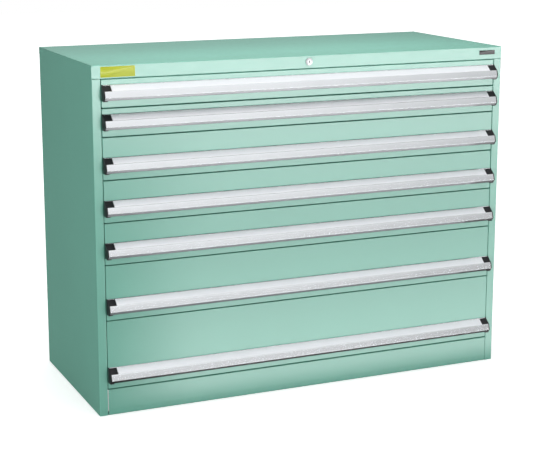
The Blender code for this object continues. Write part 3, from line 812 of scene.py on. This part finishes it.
def extrusion_tree():
    """A geometry nodes tree that extrudes the object's own outline along X."""
    tree = bpy.data.node_groups.new("extrusion", "GeometryNodeTree")
    sockets = {"Geometry": "Geometry", "Start": "Float", "Length": "Float", "Material": "Material"}
    for label, kind in sockets.items():
        tree.interface.new_socket(label, in_out="INPUT", socket_type=f"NodeSocket{kind}")
    tree.interface.new_socket("Geometry", in_out="OUTPUT", socket_type="NodeSocketGeometry")
    graph = Graph(tree)
    given = graph.node("NodeGroupInput")
    profile = graph.node("GeometryNodeMeshToCurve", None, (given,))
    start = given.other("Start")
    first = graph.node("ShaderNodeCombineXYZ", None, (start,))
    last = graph.node("ShaderNodeCombineXYZ", None, (start + given.other("Length"),))
    path = graph.node("GeometryNodeCurvePrimitiveLine", None, {"Start": first, "End": last})
    sweep = {"Curve": path, "Profile Curve": profile, "Fill Caps": True}
    swept = graph.node("GeometryNodeCurveToMesh", None, sweep)
    smooth = graph.node("GeometryNodeSetShadeSmooth", None, (swept,))
    real = graph.node("GeometryNodeRealizeInstances", None, (smooth,))
    coat = {"Geometry": real, "Material": given.other("Material")}
    coated = graph.node("GeometryNodeSetMaterial", None, coat)
    graph.node("NodeGroupOutput", None, (coated,))
    return tree


def socket_id(tree, name):
    return next(
        item.identifier
        for item in tree.interface.items_tree
        if item.item_type == "SOCKET" and item.in_out == "INPUT" and item.name == name
    )


def grown_mesh(base, tree, **values):
    """The plain mesh that a geometry nodes tree makes from a base mesh."""
    holder = bpy.data.objects.new("holder", base)
    bpy.context.scene.collection.objects.link(holder)
    modifier = holder.modifiers.new("nodes", "NODES")
    modifier.node_group = tree
    for name, value in values.items():
        modifier[socket_id(tree, name)] = value
    graph = bpy.context.evaluated_depsgraph_get()
    mesh = bpy.data.meshes.new_from_object(holder.evaluated_get(graph))
    bpy.data.objects.remove(holder)
    return mesh


def extruded(points, start, length, tree, material):
    """A section in (depth, height) extruded along X, placed before the drawer fronts."""
    inputs = {"Start": start, "Length": length, "Material": material}
    shape = bmesh.new()
    shape.from_mesh(grown_mesh(outline_mesh(points), tree, **inputs))
    mesh = tidied(shape, "extrusion")
    mesh.transform(Matrix.Translation((0, front_plane(), 0)))
    return mesh


# ---- operators


class CABINET_OT_carcass(bpy.types.Operator):
    """Powder coat on the side, top, back, bottom and plinth panels"""

    bl_idname = "cabinet.carcass"
    bl_label = "Carcass"

    def execute(self, context):
        mint = powder_coat("mint_carcass", tuple(looks().paint.mint))
        for node in NODES:
            if node.endswith(("_panel", "_panel_left", "_panel_right")):
                dress(node, mint)
        return {"FINISHED"}


class CABINET_OT_drawer_fronts(bpy.types.Operator):
    """Powder coat on the drawer fronts"""

    bl_idname = "cabinet.drawer_fronts"
    bl_label = "Drawer fronts"

    def execute(self, context):
        mint = powder_coat("mint_fronts", tuple(looks().paint.mint))
        for number in DRAWERS:
            dress(f"drawer_{number}_front", mint)
        return {"FINISHED"}


class CABINET_OT_inside(bpy.types.Operator):
    """Galvanised trays, uprights and locking bar, and bright slides"""

    bl_idname = "cabinet.inside"
    bl_label = "Trays and slides"

    def execute(self, context):
        colour = tuple(looks().metal.zinc)
        sheet = zinc_sheet("galvanised_sheet", colour)
        slide = drawn_steel("slide_steel", colour)
        for node in NODES:
            if node.endswith("_tray") or node.startswith(("runner_frame", "locking_bar")):
                dress(node, sheet)
            elif "_rail_" in node:
                dress(node, slide)
        return {"FINISHED"}


class CABINET_OT_handles(bpy.types.Operator):
    """Extruded aluminium handles"""

    bl_idname = "cabinet.handles"
    bl_label = "Handles"

    def execute(self, context):
        metal = looks().metal
        finish = anodised("satin_anodised", tuple(metal.aluminium))
        tree = extrusion_tree()
        section = handle_outline(metal.arc_steps)
        for number in DRAWERS:
            node = f"drawer_{number}_handle"
            body = f"drawer_{number}"
            low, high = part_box(node)
            mesh = extruded(section, low.x, high.x - low.x, tree, finish)
            mesh.transform(Matrix.Translation((0, 0, low.z)))
            new_piece(f"{node}_extrusion", mesh, finish, body, (node,))
        return {"FINISHED"}


class CABINET_OT_label_strips(bpy.types.Operator):
    """Clear strips with a white card, in the channel of each handle"""

    bl_idname = "cabinet.label_strips"
    bl_label = "Label strips"

    def execute(self, context):
        finish = label_card("card_under_clear_strip", tuple(looks().labels.card))
        tree = extrusion_tree()
        section = strip_outline()
        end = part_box("drawer_1_handle_cap_right")[1].x
        half = end - CAP_PLATE - CAP_TAB_LENGTH - STRIP_END_GAP
        for number in DRAWERS:
            mesh = extruded(section, -half, 2 * half, tree, finish)
            mesh.transform(Matrix.Translation((0, 0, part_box(f"drawer_{number}_handle")[0].z)))
            new_piece(f"drawer_{number}_label_strip", mesh, finish, f"drawer_{number}")
        return {"FINISHED"}


class CABINET_OT_handle_caps(bpy.types.Operator):
    """Moulded caps on the ends of the handles"""

    bl_idname = "cabinet.handle_caps"
    bl_label = "Handle caps"

    def execute(self, context):
        finish = moulded_black("moulded_black")
        right = self.cap(looks().metal.arc_steps)
        shapes = {"right": right, "left": mirrored(right)}
        for number in DRAWERS:
            body = f"drawer_{number}"
            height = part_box(f"drawer_{number}_handle")[0].z
            for side, shape in shapes.items():
                node = f"drawer_{number}_handle_cap_{side}"
                mesh = shape.copy()
                mesh.transform(Matrix.Translation((0, front_plane(), height)))
                new_piece(f"{node}_moulding", mesh, finish, body, (node,))
        return {"FINISHED"}

    def cap(self, steps):
        """Right cap: a plate over the section, a tab in its channel and a foot under its nose."""
        depth = handle_depth()
        height = handle_height()
        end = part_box("drawer_1_handle_cap_right")[1].x
        plate_start = end - CAP_PLATE
        plate_middle = end - CAP_PLATE / 2
        bottom = -SECTION_GAP - CAP_FOOT_THICKNESS
        foot_front = depth - SECTION_CHIN_SETBACK
        foot_back = foot_front - CAP_FOOT_DEPTH
        plate = [
            ((SECTION_GAP, bottom), CAP_HEEL_RADIUS),
            ((SECTION_GAP, height), SECTION_EDGE_RADIUS),
            (on_slope(0, 0), SECTION_EDGE_RADIUS),
            (SECTION_RIDGE, SECTION_RIDGE_RADIUS),
            ((depth, SECTION_NOSE_HEIGHT), SECTION_CHIN_RADIUS),
            ((foot_front, -SECTION_GAP), SECTION_CHIN_RADIUS),
            ((foot_front - CAP_FOOT_THICKNESS, bottom), CAP_EDGE),
        ]
        first = LIP_WIDTH + CAP_TAB_CLEARANCE
        last = slope()[2] - first
        low = -LABEL_RECESS + SECTION_GAP
        tab = [
            (on_slope(first, low), 0),
            (on_slope(first, CAP_TAB_TOP), 0),
            (on_slope(last, CAP_TAB_TOP), 0),
            (on_slope(last, low), 0),
        ]
        foot = [
            ((foot_back, bottom), CAP_EDGE),
            ((foot_back, -SECTION_GAP), 0),
            ((foot_front, -SECTION_GAP), 0),
            ((foot_front, bottom), CAP_FOOT_THICKNESS / 2),
        ]
        solids = (
            (plate, plate_start, end),
            (tab, plate_start - CAP_TAB_LENGTH, plate_middle),
            (foot, plate_start - CAP_FOOT_LENGTH, plate_middle),
        )
        parts = [
            slab(rounded(corners, steps), start, stop, CAP_EDGE, towards_right)
            for corners, start, stop in solids
        ]
        return joined(parts, "cap")


class CABINET_OT_lock(bpy.types.Operator):
    """Plated key lock in the rail"""

    bl_idname = "cabinet.lock"
    bl_label = "Lock"

    def execute(self, context):
        chrome = bright_plate("lock_chrome")
        dress("lock_plug", chrome)
        low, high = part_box("lock_barrel")
        axis = Matrix.Translation((0, front_plane(), (low.z + high.z) / 2))
        mesh = joined([self.ring(), self.nut()], "lock")
        mesh.transform(axis)
        new_piece("lock_ring", mesh, chrome, "cabinet", ("lock_barrel",))
        # Painted shade: the keyway is a thin black sheet on the plug's face, not a cut slot
        slot = rounded_rectangle(KEY_SLOT, KEY_SLOT[0] / 4, LOCK_CORNER_STEPS)
        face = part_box("lock_plug")[0].y - front_plane()
        edge = KEYWAY_SHADE_SHEET / THIN_EDGE
        keyway_shade = slab(slot, face - KEYWAY_SHADE_SHEET, face, edge, towards_back)
        keyway_shade.transform(axis)
        new_piece("key_slot_shutter", keyway_shade, moulded_black("dark_shutter"), "lock_plug")
        return {"FINISHED"}

    def ring(self):
        """The barrel with its ring: a closed (radius, y) profile turned about the Y axis."""
        back = -SECTION_GAP
        front = back - RING_THICKNESS
        corners = [
            ((PLUG_BORE, BARREL_LENGTH), 0),
            ((PLUG_BORE, front + RING_EDGE / 2), RING_EDGE / 2),
            ((PLUG_BORE + RING_EDGE / 2, front), RING_EDGE / 2),
            ((RING_RADIUS, front), RING_EDGE),
            ((RING_RADIUS, back), 0),
            ((BARREL_RADIUS, back), 0),
            ((BARREL_RADIUS, BARREL_LENGTH), 0),
        ]
        shape = bmesh.new()
        profile = rounded(corners, LOCK_CORNER_STEPS)
        verts = [shape.verts.new((radius, y, 0)) for radius, y in profile]
        edges = [shape.edges.new(pair) for pair in zip(verts, verts[1:] + verts[:1])]
        circle = {"cent": (0, 0, 0), "axis": (0, 1, 0), "angle": math.tau, "steps": LOCK_STEPS}
        bmesh.ops.spin(shape, geom=verts + edges, **circle)
        return tidied(shape, "ring")

    def nut(self):
        """The nut that holds the barrel against the back of the rail."""
        angles = [math.tau * i / NUT_SIDES for i in range(NUT_SIDES)]
        hexagon = [(NUT_RADIUS * math.cos(a), NUT_RADIUS * math.sin(a)) for a in angles]
        front = SHEET + SECTION_GAP
        return slab(hexagon, front, front + NUT_THICKNESS, NUT_EDGE, towards_back)


class CABINET_OT_plates(bpy.types.Operator):
    """Blank label and blank name plate on the rail"""

    bl_idname = "cabinet.plates"
    bl_label = "Blank plates"

    def execute(self, context):
        labels = looks().labels
        yellow = printed_film("yellow_film", tuple(labels.notice_colour), roughness=0.30)
        black = printed_film("black_film", BLACK_INK, roughness=0.28)
        self.plate("notice_label", yellow, labels.notice_size, **NOTICE)
        self.plate("name_plate", black, labels.name_plate_size, **NAME_PLATE)
        return {"FINISHED"}

    def plate(self, name, finish, size, centre, radius, thickness):
        """A thin plate with rounded corners, stuck on the rail's face."""
        outline = rounded_rectangle(size, radius, PLATE_CORNER_STEPS, centre)
        plane = front_plane()
        edge = thickness / THIN_EDGE
        mesh = slab(outline, plane - thickness, plane - PLATE_GAP, edge, towards_back)
        new_piece(name, mesh, finish, "cabinet")


class CABINET_OT_stage(bpy.types.Operator):
    """Pale floor, soft panels and the photograph's camera"""

    bl_idname = "cabinet.stage"
    bl_label = "Studio"

    def execute(self, context):
        scene = context.scene
        studio = looks().studio
        self.floor(studio.dim_back * GLOW_BEHIND_SHARE)
        self.world(scene, studio)
        for name, (place, target, width, depth) in PANELS.items():
            self.panel(f"{name}_panel", place, target, width, depth, getattr(studio, name))
        self.camera(scene)
        scene.view_settings.view_transform = "Standard"
        return {"FINISHED"}

    def floor(self, behind):
        """A wide square of floor. Glossy faces see it at this strength behind the cabinet."""
        half = FLOOR_HALF
        corners = [(-half, -half, 0), (half, -half, 0), (half, half, 0), (-half, half, 0)]
        mesh = bpy.data.meshes.new("floor")
        mesh.from_pydata(corners, [], [(0, 1, 2, 3)])
        mesh.materials.append(self.floor_finish(behind))
        floor = bpy.data.objects.new("floor", mesh)
        bpy.context.scene.collection.objects.link(floor)

    def floor_finish(self, behind):
        """White to the camera, with the cabinet's shadow. To glossy faces it glows by itself."""
        material = bpy.data.materials.new("pale_floor")
        material.use_nodes = True
        material.node_tree.nodes.clear()
        graph = Graph(material.node_tree)
        rays = graph.node("ShaderNodeLightPath", output="Is Camera Ray")
        place = graph.node("ShaderNodeTexCoord", output="Object")
        pattern = {"Vector": place, "Scale": FLOOR_CLOUD_SCALE, "Detail": 3.0}
        cloud = graph.node("ShaderNodeTexNoise", None, pattern)
        pale = graph.between(cloud, *((grey, grey, grey) for grey in FLOOR_GREYS))
        matt = graph.node("ShaderNodeBsdfDiffuse", None, {"Color": pale})
        away = graph.node("ShaderNodeVectorMath", {"operation": "LENGTH"}, (place,), "Value")
        growth = ((away - FLOOR_LIGHT_START) * FLOOR_LIGHT_RISE).held(0.0, 1 - FLOOR_LIGHT)
        light = self.glow(graph, FLOOR_LIGHT + growth)
        lit = graph.node("ShaderNodeAddShader", None, (matt, light))
        seen = graph.node("ShaderNodeMixShader", None, (rays, matt, lit))
        in_gloss = self.glow(graph, self.strength_in_gloss(graph, place, behind))
        glossy = rays.other("Is Glossy Ray")
        mixed = graph.node("ShaderNodeMixShader", None, (glossy, seen, in_gloss))
        graph.node("ShaderNodeOutputMaterial", None, (mixed,))
        return material

    def glow(self, graph, strength):
        return graph.node("ShaderNodeEmission", None, {"Color": WHITE, "Strength": strength})

    def strength_in_gloss(self, graph, place, behind):
        """How brightly glossy faces see a place of the floor."""
        across = graph.node("ShaderNodeSeparateXYZ", None, (place,))
        ahead = front_plane() - across.other("Y")
        half_width = (ahead * PATCH_WIDENING + PATCH_HALF).larger(PATCH_HALF)
        along = (across - ahead * PATCH_LEAN) / half_width
        left_edge = (along - FADE_EDGE) * FADE_RISE
        fade = left_edge.larger((ahead - FADE_FAR_START) * FADE_FAR_RISE).held(FADE_LEAST, 1.0)
        falling = (GLOW_NEAR - ahead * GLOW_NEAR_FALL).larger(GLOW_NEAR_LEAST)
        near = (ahead * GLOW_FOOT_RISE + GLOW_AT_FOOT).smaller(falling)
        middle = (ahead - GLOW_MIDDLE_START).held(0.0, GLOW_MIDDLE_LENGTH) * GLOW_MIDDLE_RISE
        far = ahead.grown(GLOW_FAR_START, GLOW_FAR_RISE) * GLOW_FAR_GAIN
        return ((near + middle + far) * fade).held(behind, GLOW_MOST)

    def world(self, scene, studio):
        """White to the camera. Glossy faces see white in front and a dimmer studio behind."""
        scene.world = bpy.data.worlds.new("studio")
        scene.world.use_nodes = True
        tree = scene.world.node_tree
        tree.nodes.clear()
        graph = Graph(tree)
        rays = graph.node("ShaderNodeLightPath", output="Is Camera Ray")
        seen = rays.larger(rays.other("Is Transmission Ray"))
        glossy = rays.other("Is Glossy Ray")
        way = graph.node("ShaderNodeTexCoord", output="Generated")
        across = graph.node("ShaderNodeSeparateXYZ", None, (way,))
        up = across.other("Z")
        dim_back = studio.dim_back + up.grown(*LIT_BEHIND) * LIT_BEHIND_GAIN
        shown = 1 - across.other("Y").grown(*BEHIND) * (1 - dim_back)
        shown = shown * (1 - across.grown(*FAR_RIGHT) * (1 - studio.dim_sides))
        shown = shown * (1 - (1 - up.grown(*ABOVE_HORIZON)) * (1 - studio.dim_low))
        shown = shown * (1 - (0 - across).grown(*FAR_LEFT) * (1 - studio.dim_sides))
        strength = seen + (1 - seen) * (glossy * shown + (1 - glossy) * studio.ambient)
        inputs = {"Color": WHITE, "Strength": strength}
        white = graph.node("ShaderNodeBackground", None, inputs)
        graph.node("ShaderNodeOutputWorld", None, (white,))

    def panel(self, name, place, target, width, depth, power):
        """A soft panel that neither the camera nor glossy faces see."""
        light = bpy.data.lights.new(name, "AREA")
        light.shape = "RECTANGLE"
        light.size, light.size_y = width, depth
        light.energy = power
        lamp = bpy.data.objects.new(name, light)
        lamp.location = place
        facing = Vector(target) - Vector(place)
        lamp.rotation_euler = facing.to_track_quat("-Z", "Y").to_euler()
        lamp.visible_camera = False
        lamp.visible_glossy = False
        bpy.context.scene.collection.objects.link(lamp)

    def camera(self, scene):
        data = bpy.data.cameras.new("camera")
        data.sensor_width = SENSOR_WIDTH_MM
        data.lens = CAMERA_FOCAL_PX / PHOTO_WIDTH_PX * SENSOR_WIDTH_MM
        data.shift_y = CAMERA_SHIFT_PX / PHOTO_WIDTH_PX
        camera = bpy.data.objects.new("camera", data)
        camera.location = CAMERA_PLACE
        camera.rotation_euler = (math.pi / 2 - CAMERA_DROP, 0, CAMERA_TURN)
        scene.collection.objects.link(camera)
        scene.camera = camera


class CABINET_PT_looks(bpy.types.Panel):
    """Lists the steps of the cabinet's looks"""

    bl_idname = "CABINET_PT_looks"
    bl_label = "Cabinet"
    bl_space_type = "VIEW_3D"
    bl_region_type = "UI"
    bl_category = "Cabinet"

    def draw(self, context):
        for step in STEPS:
            self.layout.operator(step.bl_idname)
        for group in (looks().paint, looks().metal, looks().labels, looks().studio):
            box = self.layout.box()
            for name in group.__annotations__:
                box.prop(group, name)


STEPS = (
    CABINET_OT_carcass,
    CABINET_OT_drawer_fronts,
    CABINET_OT_inside,
    CABINET_OT_handles,
    CABINET_OT_label_strips,
    CABINET_OT_handle_caps,
    CABINET_OT_lock,
    CABINET_OT_plates,
    CABINET_OT_stage,
)
SETTINGS = (PaintSettings, MetalSettings, LabelSettings, StudioSettings, CabinetLooks)


def register():
    for kind in (*SETTINGS, *STEPS, CABINET_PT_looks):
        bpy.utils.register_class(kind)
    bpy.types.Scene.cabinet_looks = PointerProperty(type=CabinetLooks)


def unregister():
    del bpy.types.Scene.cabinet_looks
    for kind in reversed((*SETTINGS, *STEPS, CABINET_PT_looks)):
        bpy.utils.unregister_class(kind)


def main():
    register()
    bpy.ops.cabinet.carcass()
    bpy.ops.cabinet.drawer_fronts()
    bpy.ops.cabinet.inside()
    bpy.ops.cabinet.handles()
    bpy.ops.cabinet.label_strips()
    bpy.ops.cabinet.handle_caps()
    bpy.ops.cabinet.lock()
    bpy.ops.cabinet.plates()
    bpy.ops.cabinet.stage()


if __name__ == "__main__":
    main()
